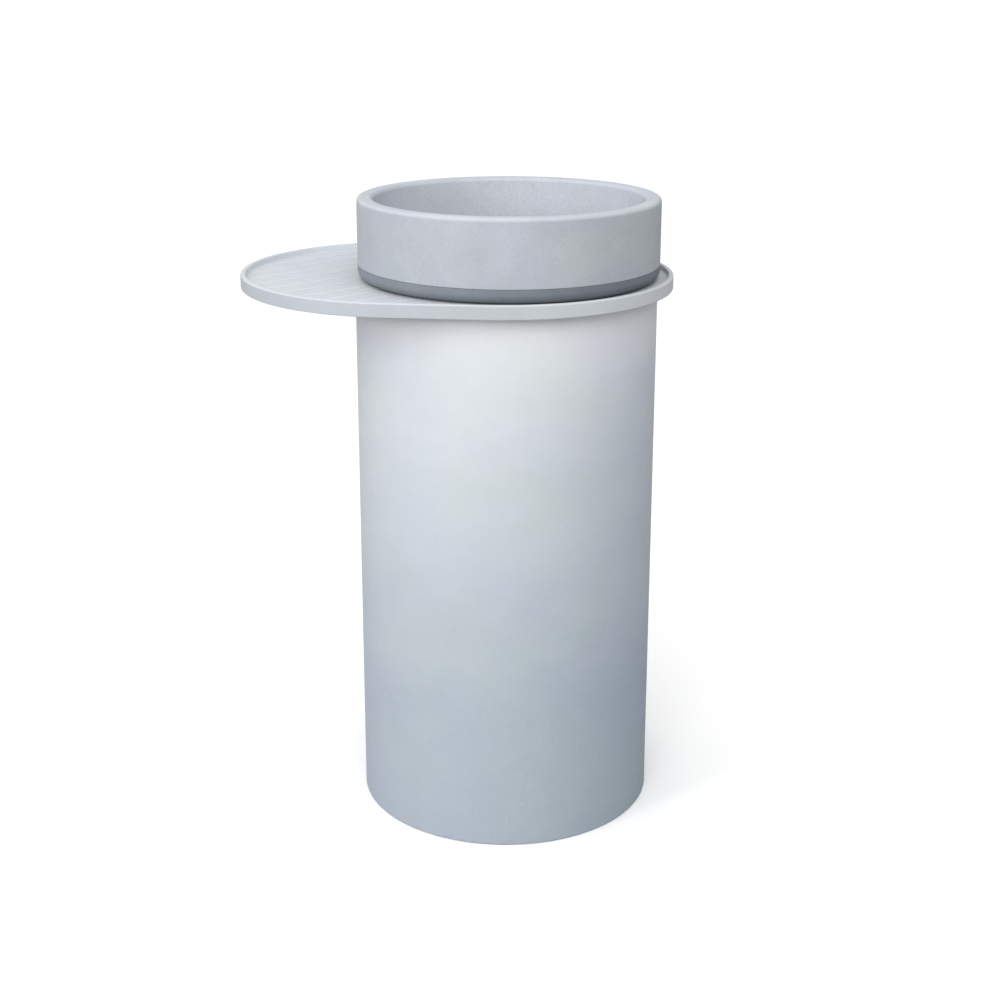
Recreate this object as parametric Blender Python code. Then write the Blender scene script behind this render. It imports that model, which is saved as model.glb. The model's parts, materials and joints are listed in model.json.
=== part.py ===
"""Pedestal washbasin in tinted concrete: a round vessel basin on an obround side tray,
carried by a hollow cylindrical pedestal with a push-to-close waste and a bottle trap inside.

Metres, +Z up. The origin is on the floor under the middle of the tray's outline. The front is
-Y, the pedestal's service opening faces +Y, and the tray reaches out to -X.
"""
import math

import bmesh
import bpy
from mathutils import Matrix, Vector

# ---------------------------------------------------------------- driving dimensions
GAP = 0.0003                     # clearance between two pieces that touch

BASIN_R = 0.2000                 # outer radius of the basin
PEDESTAL_R = 0.2005              # outer radius of the pedestal
TRAY_R = 0.2280                  # end radius of the obround tray
TRAY_SPAN = 0.1190               # distance between the centres of its two round ends
TRAY_SHORT_OF_PEDESTAL = 0.0070  # the pedestal's axis past the tray's right end centre
BASIN_OVER_PEDESTAL = 0.0031     # the basin's axis past the pedestal's axis

PEDESTAL_X = TRAY_SPAN / 2 + TRAY_SHORT_OF_PEDESTAL
WASTE_X = PEDESTAL_X + BASIN_OVER_PEDESTAL

# heights from the floor
DECK_BOTTOM = 0.6905             # underside of the pedestal's top deck
PEDESTAL_TOP = 0.7185
TRAY_BOTTOM = 0.7200
TRAY_FLOOR = 0.7318
TRAY_TOP = 0.7381
BASIN_BOTTOM = 0.7332
BASE_RECESS = 0.7432             # floor of the dish in the basin's dark lower pour
BASE_TOP = 0.7518                # the line between the dark and the light pour
BOWL_FLOOR = 0.7532              # bowl floor at the waste
BOWL_FLOOR_EDGE = 0.7567         # bowl floor where it turns up into the wall
RIM_TOP = 0.8390

# pedestal
PEDESTAL_WALL = 0.0250
PEDESTAL_EDGE = 0.0012           # small chamfer on the outer edges
OPENING_HALF_WIDTH = 0.1000      # service opening at the back
OPENING_TOP = 0.6400
OPENING_CORNER = 0.0300
DECK_HOLE_R = 0.0400

# tray
TRAY_EDGE = 0.0012
LIP_WIDTH = 0.0065
TRAY_HOLE_R = 0.0360
RIB_PITCH = 0.0348
RIB_WIDTH = 0.0030
RIB_HEIGHT = 0.0015
RIB_ANGLE = math.radians(47.0)   # from +X towards +Y
RIB_PHASE = 0.0046               # the first rib's distance from the left end's centre
RIB_CLEAR_LIP = 0.0060
RIB_CLEAR_BASIN = 0.0060

# basin
BASIN_WALL = 0.0210
RIM_ROUND = 0.0065
BASE_ROUND = 0.0120
BOWL_CORNER = 0.0220
BOWL_DRAFT = 0.0020              # how far the inner wall leans in on its way down
RECESS_R = 0.1880
OUTLET_HOLE_R = 0.0235
FLANGE_RECESS_R = 0.0350
FLANGE_RECESS = 0.0045

# studs that hold basin and tray down on the deck
STUD_CIRCLE_R = 0.0850
STUD_ANGLES = [math.radians(a) for a in (90.0, 210.0, 330.0)]
STUD_R = 0.0040
STUD_HOLE_R = 0.0060
STUD_BOTTOM = 0.6720
INSERT_R = 0.0075
INSERT_LENGTH = 0.0080
WASHER_R = 0.0120
WASHER_T = 0.0020
NUT_FLATS = 0.0130
NUT_H = 0.0065

# angle brackets that hold the pedestal to the floor
BRACKET_ANGLES = [math.radians(a) for a in (180.0, 270.0, 0.0)]
BRACKET_WIDTH = 0.0400
BRACKET_RISE = 0.0450
BRACKET_REACH = 0.0350
BRACKET_T = 0.0030
BRACKET_HOLE_R = 0.0046
BRACKET_BOLT_Z = 0.0280
BRACKET_BOLT_DEPTH = 0.0160

# waste
FLANGE_R = 0.0325
FLANGE_T = 0.0025
TAIL_R = 0.0206
TAIL_BORE_R = 0.0178
TAIL_BOTTOM = 0.6597
GASKET_T = 0.0015
PLUG_R = 0.0300
PLUG_TRAVEL = 0.0080
PLUG_SEAL_T = 0.0020
STEM_R = 0.0030
PISTON_R = 0.0052
PISTON_H = 0.0040
CARTRIDGE_BORE_R = 0.0055
CARTRIDGE_R = 0.0075
CARTRIDGE_FLANGE_R = 0.0095
CARTRIDGE_BOTTOM = 0.7057
CARTRIDGE_TOP = 0.7367
CARTRIDGE_CAP_H = 0.0030
STRAINER_BOTTOM = 0.7087
STRAINER_T = 0.0040
STRAINER_HOLES = 6
SPRING_R = 0.0042
SPRING_WIRE_R = 0.0005
SPRING_TURNS = 6

# bottle trap
PIPE_R = 0.0160
PIPE_BORE_R = 0.0142
PIPE_FIT_R = PIPE_R + GAP
NUT_R = 0.0265
NECK_R = 0.0215
NECK_TOP = 0.6297
NECK_BOTTOM = 0.6147
TRAP_R = 0.0330
TRAP_BORE_R = 0.0290
TRAP_SHOULDER = 0.6117
TRAP_WALL_TOP = 0.0025
THREAD_R = 0.0315
THREAD_TOP = 0.5637
THREAD_BOTTOM = 0.5477
OUTLET_Z = 0.5887
STUB_R = 0.0205
STUB_END_Y = 0.0600
OUTLET_PIPE_START_Y = 0.0360
OUTLET_PIPE_END_Y = 0.2050
DIP_END = 0.4997
CUP_R = 0.0320
CUP_COLLAR_R = 0.0355
CUP_BORE_R = 0.0288
CUP_LEDGE = 0.5452
CUP_BOTTOM = 0.4777

# facets
LARGE_ROUND = 60
MEDIUM_ROUND = 28
SMALL_ROUND = 18
TINY_ROUND = 12

# ---------------------------------------------------------------- finishes: colour, roughness, metallic
FINISHES = {
    "pedestal_concrete": ((0.60, 0.66, 0.72), 0.75, 0.0),
    "tray_concrete": ((0.64, 0.69, 0.75), 0.70, 0.0),
    "bowl_concrete": ((0.50, 0.52, 0.56), 0.70, 0.0),
    "base_concrete": ((0.19, 0.21, 0.23), 0.75, 0.0),
    "silicone": ((0.55, 0.57, 0.58), 0.45, 0.0),
    "rubber": ((0.03, 0.03, 0.03), 0.60, 0.0),
    "chrome": ((0.80, 0.80, 0.81), 0.08, 1.0),
    "brass": ((0.72, 0.54, 0.25), 0.30, 1.0),
    "zinc_steel": ((0.58, 0.59, 0.60), 0.38, 1.0),
    "spring_steel": ((0.45, 0.45, 0.46), 0.30, 1.0),
    "white_plastic": ((0.83, 0.83, 0.81), 0.42, 0.0),
    "black_plastic": ((0.04, 0.04, 0.045), 0.50, 0.0),
}


# ---------------------------------------------------------------- helpers
def clear_scene():
    for item in list(bpy.data.objects):
        bpy.data.objects.remove(item, do_unlink=True)


def finish(item, finish_name):
    """Give one object its own Principled material and smooth shading over its round sides."""
    colour, roughness, metallic = FINISHES[finish_name]
    material = bpy.data.materials.new(item.name + "_finish")
    material.use_nodes = True
    shader = material.node_tree.nodes["Principled BSDF"]
    shader.inputs["Base Color"].default_value = (*colour, 1.0)
    shader.inputs["Roughness"].default_value = roughness
    shader.inputs["Metallic"].default_value = metallic
    item.data.materials.append(material)
    if item.type == "MESH":
        item.data.shade_smooth()
        item.data.set_sharp_from_angle(angle=math.radians(32.0))
    return item


def axis_empty(name, x, y=0.0, z=0.0):
    empty = bpy.data.objects.new(name, None)
    empty.location = (x, y, z)
    bpy.context.collection.objects.link(empty)
    return empty


def place(name, data, parent=None, location=(0.0, 0.0, 0.0), rotation=(0.0, 0.0, 0.0)):
    item = bpy.data.objects.new(name, data)
    item.parent = parent
    item.location = location
    item.rotation_euler = rotation
    bpy.context.collection.objects.link(item)
    return item


def mesh_of(name, bm):
    bmesh.ops.remove_doubles(bm, verts=bm.verts, dist=1e-6)
    bmesh.ops.recalc_face_normals(bm, faces=bm.faces)
    mesh = bpy.data.meshes.new(name)
    bm.to_mesh(mesh)
    bm.free()
    return mesh


def arc(centre_r, centre_z, radius, start_deg, end_deg, steps):
    """Points of an arc in a lathe profile, both ends included."""
    turn = (end_deg - start_deg) / steps
    angles = [math.radians(start_deg + turn * i) for i in range(steps + 1)]
    return [(centre_r + radius * math.cos(a), centre_z + radius * math.sin(a)) for a in angles]


def lathe(name, profile, segments):
    """A turned mesh about Z. A profile that ends on the axis is open, any other is closed up."""
    bm = bmesh.new()
    verts = [bm.verts.new((r, 0.0, z)) for r, z in profile]
    edges = [bm.edges.new(pair) for pair in zip(verts, verts[1:])]
    if profile[0][0] > 0.0:
        edges.append(bm.edges.new((verts[-1], verts[0])))
    bmesh.ops.spin(bm, geom=verts + edges, cent=(0, 0, 0), axis=(0, 0, 1), dvec=(0, 0, 0),
                   angle=math.tau, steps=segments, use_duplicate=False)
    return mesh_of(name, bm)


def collar(name, bore, outer, low, high, segments, sides=0):
    """A flat ring from low to high. With sides, the outside is a prism with outer across its flats / 2."""
    bm = bmesh.new()
    rings = []
    for z, radius, flat in ((low, bore, False), (low, outer, True), (high, outer, True),
                            (high, bore, False)):
        ring = []
        for i in range(segments):
            angle = math.tau * i / segments
            reach = radius
            if flat and sides:
                sector = math.tau / sides
                reach = radius / math.cos(angle % sector - sector / 2)
            ring.append(bm.verts.new((reach * math.cos(angle), reach * math.sin(angle), z)))
        rings.append(ring)
    for a, b in zip(rings, rings[1:] + rings[:1]):
        for i in range(segments):
            j = (i + 1) % segments
            bm.faces.new((a[i], a[j], b[j], b[i]))
    return mesh_of(name, bm)


def cylinder(name, radius, low, high, segments):
    return lathe(name, [(0.0, low), (radius, low), (radius, high), (0.0, high)], segments)


def box(name, low, high):
    bm = bmesh.new()
    bmesh.ops.create_cube(bm, size=1.0)
    for vert in bm.verts:
        for axis in range(3):
            vert.co[axis] = high[axis] if vert.co[axis] > 0 else low[axis]
    return mesh_of(name, bm)


def cutter(name, data, **where):
    tool = place(name, data, **where)
    tool.hide_render = True
    tool.display_type = "WIRE"
    return tool


def boolean(item, tool, operation):
    modifier = item.modifiers.new(operation.lower() + "_" + tool.name, "BOOLEAN")
    modifier.object = tool
    modifier.operation = operation
    modifier.solver = "EXACT"


def lies_along_y(low_y):
    """Rotation and place that turn a piece modelled along +Z so that it runs along +Y."""
    return {"location": (0.0, low_y, OUTLET_Z), "rotation": (-math.pi / 2, 0.0, 0.0)}


# ---------------------------------------------------------------- pedestal
def make_pedestal(axis):
    inner = PEDESTAL_R - PEDESTAL_WALL
    outline = [
        (inner, 0.0),
        (PEDESTAL_R - PEDESTAL_EDGE, 0.0),
        (PEDESTAL_R, PEDESTAL_EDGE),
        (PEDESTAL_R, PEDESTAL_TOP - PEDESTAL_EDGE),
        (PEDESTAL_R - PEDESTAL_EDGE, PEDESTAL_TOP),
        (DECK_HOLE_R, PEDESTAL_TOP),
        (DECK_HOLE_R, DECK_BOTTOM),
        (inner, DECK_BOTTOM),
    ]
    shell = place("pedestal_shell", lathe("pedestal_shell", outline, LARGE_ROUND), parent=axis)

    opening = box("service_opening", (-OPENING_HALF_WIDTH, 0.080, -0.050),
                  (OPENING_HALF_WIDTH, 0.260, OPENING_TOP))
    opening_tool = cutter("service_opening", opening, parent=axis)
    corners = opening_tool.modifiers.new("corner_rounds", "BEVEL")
    corners.width = OPENING_CORNER
    corners.segments = 4
    corners.limit_method = "WEIGHT"
    weights = opening.attributes.new("bevel_weight_edge", "FLOAT", "EDGE")
    for edge in opening.edges:
        a, b = (opening.vertices[v].co for v in edge.vertices)
        is_top = a.z > 0 and b.z > 0
        weights.data[edge.index].value = 1.0 if is_top and abs(a.y - b.y) > 0.1 else 0.0
    boolean(shell, opening_tool, "DIFFERENCE")

    for n, angle in enumerate(STUD_ANGLES, 1):
        hole = cylinder(f"deck_stud_hole_{n}", STUD_HOLE_R, DECK_BOTTOM - 0.01,
                        PEDESTAL_TOP + 0.01, TINY_ROUND)
        spot = (STUD_CIRCLE_R * math.cos(angle) + BASIN_OVER_PEDESTAL,
                STUD_CIRCLE_R * math.sin(angle), 0.0)
        boolean(shell, cutter(f"deck_stud_hole_{n}", hole, parent=axis, location=spot), "DIFFERENCE")
    for n, angle in enumerate(BRACKET_ANGLES, 1):
        hole = cylinder(f"wall_bolt_hole_{n}", BRACKET_HOLE_R, inner - 0.020,
                        inner + BRACKET_BOLT_DEPTH, TINY_ROUND)
        tool = cutter(f"wall_bolt_hole_{n}", hole, parent=axis,
                      location=(0.0, 0.0, BRACKET_BOLT_Z), rotation=(0.0, math.pi / 2, angle))
        boolean(shell, tool, "DIFFERENCE")
    return finish(shell, "pedestal_concrete")


def bracket_mesh(name):
    """Angle bracket: its back is the plane x = 0, its foot runs to -x on the floor."""
    side = [(0.0, 0.0), (0.0, BRACKET_RISE), (-BRACKET_T, BRACKET_RISE), (-BRACKET_T, BRACKET_T),
            (-BRACKET_REACH, BRACKET_T), (-BRACKET_REACH, 0.0)]
    bm = bmesh.new()
    verts = [bm.verts.new((x, -BRACKET_WIDTH / 2, z)) for x, z in side]
    face = bm.faces.new(verts)
    moved = bmesh.ops.extrude_face_region(bm, geom=[face])["geom"]
    bmesh.ops.translate(bm, verts=[v for v in moved if isinstance(v, bmesh.types.BMVert)],
                        vec=(0.0, BRACKET_WIDTH, 0.0))
    return mesh_of(name, bm)


def make_brackets(axis):
    inner = PEDESTAL_R - PEDESTAL_WALL
    back = math.sqrt(inner ** 2 - (BRACKET_WIDTH / 2) ** 2) - 2 * GAP
    for n, angle in enumerate(BRACKET_ANGLES, 1):
        turn = axis_empty(f"bracket_axis_{n}", 0.0)
        turn.parent = axis
        turn.rotation_euler = (0.0, 0.0, angle)
        bracket = place(f"floor_bracket_{n}", bracket_mesh(f"floor_bracket_{n}"), parent=turn,
                        location=(back, 0.0, GAP))
        wall_hole = cylinder(f"bracket_wall_hole_{n}", BRACKET_HOLE_R, -0.02, 0.02, TINY_ROUND)
        boolean(bracket, cutter(f"bracket_wall_hole_{n}", wall_hole, parent=turn,
                                location=(back, 0.0, BRACKET_BOLT_Z),
                                rotation=(0.0, math.pi / 2, 0.0)), "DIFFERENCE")
        foot_hole = cylinder(f"bracket_foot_hole_{n}", BRACKET_HOLE_R, -0.02, 0.02, TINY_ROUND)
        boolean(bracket, cutter(f"bracket_foot_hole_{n}", foot_hole, parent=turn,
                                location=(back - 0.6 * BRACKET_REACH, 0.0, 0.0)), "DIFFERENCE")
        finish(bracket, "zinc_steel")

        head_h = 0.0053
        head_r = 0.0065
        shank_end = inner + BRACKET_BOLT_DEPTH - 0.001 - (back - BRACKET_T - GAP)
        profile = [(0.0, 0.0), (head_r, 0.0), (head_r, head_h), (STUD_R, head_h),
                   (STUD_R, head_h + shank_end), (0.0, head_h + shank_end)]
        bolt = place(f"bracket_bolt_{n}", lathe(f"bracket_bolt_{n}", profile, 12), parent=turn,
                     location=(back - BRACKET_T - GAP - head_h, 0.0, BRACKET_BOLT_Z),
                     rotation=(0.0, math.pi / 2, 0.0))
        finish(bolt, "zinc_steel")


# ---------------------------------------------------------------- tray
def tray_outline(inset, steps=24):
    """Points of the obround, counter-clockwise, drawn in from the tray's edge by inset."""
    radius = TRAY_R - inset
    points = []
    for centre, start in ((TRAY_SPAN / 2, -90.0), (-TRAY_SPAN / 2, 90.0)):
        for i in range(steps + 1):
            angle = math.radians(start + 180.0 * i / steps)
            points.append((centre + radius * math.cos(angle), radius * math.sin(angle)))
    return points


def tray_plate():
    """The plate with its raised lip: one obround ring per step of the edge's profile."""
    levels = [
        (TRAY_EDGE, TRAY_BOTTOM),
        (0.0, TRAY_BOTTOM + TRAY_EDGE),
        (0.0, TRAY_TOP - TRAY_EDGE),
        (TRAY_EDGE, TRAY_TOP),
        (LIP_WIDTH - TRAY_EDGE, TRAY_TOP),
        (LIP_WIDTH, TRAY_TOP - TRAY_EDGE),
        (LIP_WIDTH + TRAY_EDGE, TRAY_FLOOR),
    ]
    bm = bmesh.new()
    rings = [[bm.verts.new((x, y, z)) for x, y in tray_outline(inset)] for inset, z in levels]
    for a, b in zip(rings, rings[1:]):
        for i in range(len(a)):
            j = (i + 1) % len(a)
            bm.faces.new((a[i], a[j], b[j], b[i]))
    bm.faces.new(rings[0])
    bm.faces.new(rings[-1])
    return mesh_of("tray", bm)


def obround_reach(origin, heading, radius):
    """How far a ray from inside an obround of this end radius runs before it leaves it."""
    best = 0.0
    for side in (1.0, -1.0):
        if abs(heading.y) > 1e-9:
            far = (side * radius - origin.y) / heading.y
            if far > 0 and abs(origin.x + far * heading.x) <= TRAY_SPAN / 2:
                best = max(best, far)
        offset = origin - Vector((side * TRAY_SPAN / 2, 0.0))
        along = offset.dot(heading)
        root = along ** 2 - offset.length_squared + radius ** 2
        if root > 0:
            far = -along + math.sqrt(root)
            hit = origin.x + far * heading.x
            if far > 0 and side * hit >= TRAY_SPAN / 2:
                best = max(best, far)
    return best


def rib_spans():
    """Start and length of each rib on the open part of the tray, left of the basin."""
    along = Vector((math.cos(RIB_ANGLE), math.sin(RIB_ANGLE)))
    across = Vector((-along.y, along.x))
    basin = Vector((WASTE_X, 0.0))
    keep_out = BASIN_R + RIB_CLEAR_BASIN
    inside = TRAY_R - LIP_WIDTH - TRAY_EDGE - RIB_CLEAR_LIP
    left_end = Vector((-TRAY_SPAN / 2, 0.0))
    spans = []
    for n in range(-7, 8):
        middle = left_end + across * (n * RIB_PITCH + RIB_PHASE)
        if (middle - left_end).length >= inside:
            continue
        start = middle - along * obround_reach(middle, -along, inside)
        length = (start - middle).length + obround_reach(middle, along, inside)
        to_basin = basin - start
        forward = to_basin.dot(along)
        sideways = to_basin.dot(across)
        if abs(sideways) < keep_out and forward > 0:
            length = min(length, forward - math.sqrt(keep_out ** 2 - sideways ** 2))
        if length > 3 * RIB_WIDTH:
            spans.append((start, length))
    return spans


def rib_mesh():
    bm = bmesh.new()
    for start, length in rib_spans():
        made = bmesh.ops.create_cube(bm, size=1.0)["verts"]
        height = TRAY_FLOOR + RIB_HEIGHT - TRAY_BOTTOM - 0.004
        size = Matrix.Diagonal((length, RIB_WIDTH, height, 1.0))
        move = Matrix.Translation((start.x, start.y, TRAY_FLOOR + RIB_HEIGHT - height / 2))
        turn = Matrix.Rotation(RIB_ANGLE, 4, "Z")
        half = Matrix.Translation((length / 2, 0.0, 0.0))
        bmesh.ops.transform(bm, matrix=move @ turn @ half @ size, verts=made)
    return mesh_of("tray_ribs", bm)


def make_tray():
    tray = place("tray", tray_plate())
    boolean(tray, cutter("tray_ribs", rib_mesh()), "UNION")
    waste_hole = cylinder("tray_waste_hole", TRAY_HOLE_R, TRAY_BOTTOM - 0.01, TRAY_TOP + 0.01,
                          MEDIUM_ROUND)
    boolean(tray, cutter("tray_waste_hole", waste_hole, location=(WASTE_X, 0.0, 0.0)),
            "DIFFERENCE")
    for n, angle in enumerate(STUD_ANGLES, 1):
        hole = cylinder(f"tray_stud_hole_{n}", STUD_HOLE_R, TRAY_BOTTOM - 0.01,
                        TRAY_TOP + 0.01, TINY_ROUND)
        spot = (WASTE_X + STUD_CIRCLE_R * math.cos(angle), STUD_CIRCLE_R * math.sin(angle), 0.0)
        boolean(tray, cutter(f"tray_stud_hole_{n}", hole, location=spot), "DIFFERENCE")
    return finish(tray, "tray_concrete")


# ---------------------------------------------------------------- basin
def make_basin(axis):
    base_profile = [(OUTLET_HOLE_R, BASIN_BOTTOM)]
    base_profile += arc(BASIN_R - BASE_ROUND, BASIN_BOTTOM + BASE_ROUND, BASE_ROUND, -90, 0, 5)
    base_profile += [(BASIN_R, BASE_TOP), (RECESS_R, BASE_TOP), (RECESS_R, BASE_RECESS),
                     (OUTLET_HOLE_R, BASE_RECESS)]
    base = place("basin_base", lathe("basin_base", base_profile, LARGE_ROUND), parent=axis)
    for n, angle in enumerate(STUD_ANGLES, 1):
        hole = cylinder(f"base_insert_hole_{n}", INSERT_R + GAP, BASIN_BOTTOM - 0.01,
                        BASIN_BOTTOM + INSERT_LENGTH + GAP, TINY_ROUND)
        spot = (STUD_CIRCLE_R * math.cos(angle), STUD_CIRCLE_R * math.sin(angle), 0.0)
        boolean(base, cutter(f"base_insert_hole_{n}", hole, parent=axis, location=spot),
                "DIFFERENCE")
    finish(base, "base_concrete")

    inner_top = BASIN_R - BASIN_WALL
    inner_low = inner_top - BOWL_DRAFT
    bowl_profile = [
        (OUTLET_HOLE_R, BASE_RECESS + GAP),
        (RECESS_R - GAP, BASE_RECESS + GAP),
        (RECESS_R - GAP, BASE_TOP + GAP),
        (BASIN_R, BASE_TOP + GAP),
    ]
    bowl_profile += arc(BASIN_R - RIM_ROUND, RIM_TOP - RIM_ROUND, RIM_ROUND, 0, 90, 4)
    bowl_profile += arc(inner_top + RIM_ROUND, RIM_TOP - RIM_ROUND, RIM_ROUND, 90, 180, 4)
    bowl_profile += arc(inner_low - BOWL_CORNER, BOWL_FLOOR_EDGE + BOWL_CORNER, BOWL_CORNER,
                        0, -90, 4)
    bowl_profile += [
        (FLANGE_RECESS_R, BOWL_FLOOR),
        (FLANGE_RECESS_R, BOWL_FLOOR - FLANGE_RECESS),
        (OUTLET_HOLE_R, BOWL_FLOOR - FLANGE_RECESS),
    ]
    bowl = place("basin_bowl", lathe("basin_bowl", bowl_profile, LARGE_ROUND), parent=axis)
    finish(bowl, "bowl_concrete")


def make_seals(basin_axis, pedestal_axis):
    bed = collar("tray_seal", 0.150, 0.190, PEDESTAL_TOP + GAP, TRAY_BOTTOM - GAP, MEDIUM_ROUND)
    finish(place("tray_seal", bed, parent=pedestal_axis), "silicone")
    ring = collar("basin_seal", 0.155, 0.180, TRAY_FLOOR + GAP, BASIN_BOTTOM - GAP, MEDIUM_ROUND)
    finish(place("basin_seal", ring, parent=basin_axis), "silicone")


# ---------------------------------------------------------------- studs
def make_studs(axis):
    washer_top = DECK_BOTTOM - GAP
    nut_top = washer_top - WASHER_T - GAP
    for n, angle in enumerate(STUD_ANGLES, 1):
        spot = axis_empty(f"stud_axis_{n}", STUD_CIRCLE_R * math.cos(angle),
                          STUD_CIRCLE_R * math.sin(angle))
        spot.parent = axis
        insert = collar(f"stud_insert_{n}", STUD_R + GAP, INSERT_R, BASIN_BOTTOM + GAP,
                        BASIN_BOTTOM + INSERT_LENGTH, TINY_ROUND)
        stud = cylinder(f"stud_{n}", STUD_R, STUD_BOTTOM, BASIN_BOTTOM + INSERT_LENGTH - GAP,
                        TINY_ROUND)
        washer = collar(f"stud_washer_{n}", STUD_R + GAP, WASHER_R, washer_top - WASHER_T,
                        washer_top, TINY_ROUND)
        nut = collar(f"stud_nut_{n}", STUD_R + GAP, NUT_FLATS / 2, nut_top - NUT_H, nut_top,
                     SMALL_ROUND, sides=6)
        finish(place(f"stud_insert_{n}", insert, parent=spot), "brass")
        finish(place(f"stud_{n}", stud, parent=spot), "zinc_steel")
        finish(place(f"stud_washer_{n}", washer, parent=spot), "zinc_steel")
        finish(place(f"stud_nut_{n}", nut, parent=spot), "zinc_steel")


# ---------------------------------------------------------------- waste and plug
def make_waste(axis):
    recess_floor = BOWL_FLOOR - FLANGE_RECESS
    gasket_low = recess_floor + GAP
    flange_low = gasket_low + GASKET_T + GAP
    flange_top = flange_low + FLANGE_T
    body_profile = [
        (TAIL_BORE_R, TAIL_BOTTOM),
        (TAIL_R, TAIL_BOTTOM),
        (TAIL_R, flange_low),
        (FLANGE_R, flange_low),
        (FLANGE_R, flange_top - 0.0008),
        (FLANGE_R - 0.0008, flange_top),
        (PLUG_R - 0.0015, flange_top),
        (TAIL_BORE_R + 0.0012, flange_low + 0.0014),
        (TAIL_BORE_R, flange_low),
    ]
    finish(place("waste_body", lathe("waste_body", body_profile, MEDIUM_ROUND), parent=axis),
           "chrome")
    tail_fit = TAIL_R + 2 * GAP
    top_gasket = collar("waste_top_gasket", tail_fit, FLANGE_R - 0.0005, gasket_low,
                        gasket_low + GASKET_T, SMALL_ROUND)
    finish(place("waste_top_gasket", top_gasket, parent=axis), "rubber")

    low_gasket_top = BASIN_BOTTOM - GAP
    low_gasket_low = low_gasket_top - 0.0030
    washer_top = low_gasket_low - GAP
    washer_low = washer_top - 0.0015
    nut_top = washer_low - GAP
    low_gasket = collar("waste_low_gasket", tail_fit, 0.0300, low_gasket_low, low_gasket_top,
                        SMALL_ROUND)
    finish(place("waste_low_gasket", low_gasket, parent=axis), "rubber")
    washer = collar("waste_washer", tail_fit, 0.0310, washer_low, washer_top, SMALL_ROUND)
    finish(place("waste_washer", washer, parent=axis), "white_plastic")
    backnut = collar("waste_backnut", tail_fit, 0.0290, nut_top - 0.0080, nut_top,
                     SMALL_ROUND, sides=6)
    finish(place("waste_backnut", backnut, parent=axis), "brass")
    return flange_top


def make_cartridge(axis):
    strainer_top = STRAINER_BOTTOM + STRAINER_T
    disc = collar("waste_strainer", CARTRIDGE_R + GAP, TAIL_BORE_R - GAP, STRAINER_BOTTOM,
                  strainer_top, MEDIUM_ROUND)
    strainer = place("waste_strainer", disc, parent=axis)
    hole_circle = (CARTRIDGE_R + TAIL_BORE_R) / 2 + 0.0006
    for n in range(STRAINER_HOLES):
        angle = math.tau * (n + 0.5) / STRAINER_HOLES
        hole = cylinder(f"strainer_hole_{n}", 0.0028, STRAINER_BOTTOM - 0.005,
                        strainer_top + 0.005, 12)
        spot = (hole_circle * math.cos(angle), hole_circle * math.sin(angle), 0.0)
        tool = cutter(f"strainer_hole_{n}", hole, parent=axis, location=spot,
                      rotation=(0.0, 0.0, angle + math.radians(7.0)))
        boolean(strainer, tool, "DIFFERENCE")
    finish(strainer, "brass")

    flange_low = strainer_top + GAP
    bore_floor = CARTRIDGE_BOTTOM + 0.0030
    body_profile = [
        (0.0, CARTRIDGE_BOTTOM),
        (CARTRIDGE_R, CARTRIDGE_BOTTOM),
        (CARTRIDGE_R, flange_low),
        (CARTRIDGE_FLANGE_R, flange_low),
        (CARTRIDGE_FLANGE_R, flange_low + 0.0018),
        (CARTRIDGE_R, flange_low + 0.0018),
        (CARTRIDGE_R, CARTRIDGE_TOP),
        (CARTRIDGE_BORE_R, CARTRIDGE_TOP),
        (CARTRIDGE_BORE_R, bore_floor),
        (0.0, bore_floor),
    ]
    body = place("cartridge_body", lathe("cartridge_body", body_profile, SMALL_ROUND),
                 parent=axis)
    finish(body, "black_plastic")
    cap = collar("cartridge_cap", STEM_R + 0.0004, CARTRIDGE_R, CARTRIDGE_TOP + GAP,
                 CARTRIDGE_TOP + GAP + CARTRIDGE_CAP_H, SMALL_ROUND)
    finish(place("cartridge_cap", cap, parent=axis), "black_plastic")
    return bore_floor


def make_plug(axis, flange_top, bore_floor):
    """The plug at rest is up; pressing it moves it down by PLUG_TRAVEL onto its seat."""
    seal_low = flange_top + 0.0002 + PLUG_TRAVEL
    seal_top = seal_low + PLUG_SEAL_T
    cap_low = seal_top + GAP
    cap_profile = [
        (0.0, cap_low),
        (PLUG_R - 0.0010, cap_low),
        (PLUG_R, cap_low + 0.0008),
        (PLUG_R, cap_low + 0.0020),
        (PLUG_R - 0.0012, cap_low + 0.0033),
        (PLUG_R * 0.60, cap_low + 0.0045),
        (0.0, cap_low + 0.0050),
    ]
    finish(place("plug_cap", lathe("plug_cap", cap_profile, MEDIUM_ROUND), parent=axis), "chrome")
    seal = collar("plug_seal", 0.0200, PLUG_R - 0.0020, seal_low, seal_top, MEDIUM_ROUND)
    finish(place("plug_seal", seal, parent=axis), "rubber")

    piston_top = CARTRIDGE_TOP
    stem_profile = [
        (0.0, piston_top - PISTON_H),
        (PISTON_R, piston_top - PISTON_H),
        (PISTON_R, piston_top),
        (STEM_R, piston_top),
        (STEM_R, cap_low - GAP),
        (0.0, cap_low - GAP),
    ]
    finish(place("plug_stem", lathe("plug_stem", stem_profile, SMALL_ROUND), parent=axis), "brass")

    spring_low = bore_floor + GAP
    spring_top = piston_top - PISTON_H - GAP
    make_spring(axis, spring_low, spring_top)


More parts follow.
